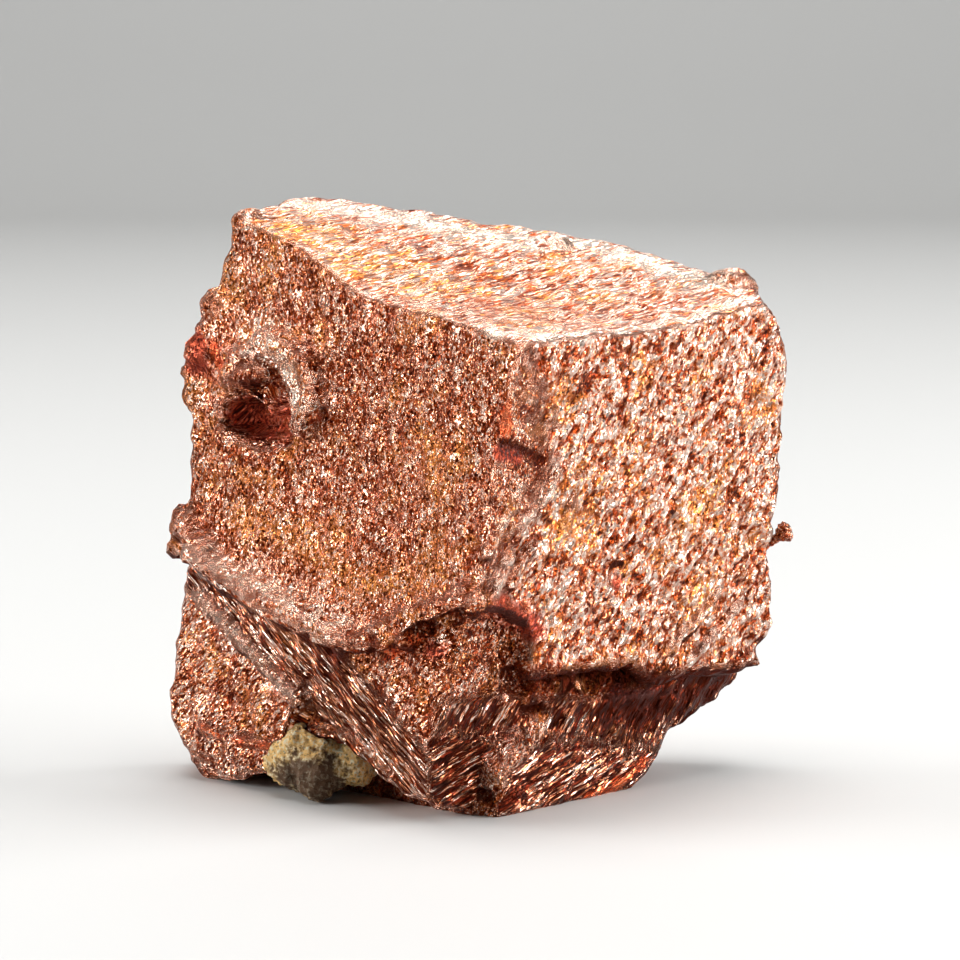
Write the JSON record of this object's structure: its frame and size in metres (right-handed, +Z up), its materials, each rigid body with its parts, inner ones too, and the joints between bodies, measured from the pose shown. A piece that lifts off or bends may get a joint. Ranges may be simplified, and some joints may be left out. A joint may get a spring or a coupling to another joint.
{
  "type": "native copper crystal",
  "caption": "Blocky native copper crystal: a distorted cube that overhangs a smaller crystal and a low block, with a remnant of pale matrix rock in the notch beneath.",
  "frame": {"origin": "middle of the bounding box, on the level that the crystal stands on", "axes": "+X to the right along the width with the two large front faces towards -Y, +Y to the back, +Z up"},
  "size_m": [0.0442, 0.0274, 0.0417],
  "materials": {
    "copper": "etched native copper, bright on the grains, with red-brown tarnish in the hollows",
    "matrix": "dull crumbly rock, pale yellow above and grey-green to brown below"
  },
  "bodies": {
    "root": {"copper_crystal": "copper", "matrix_rock": "matrix"}
  },
  "joints": []
}
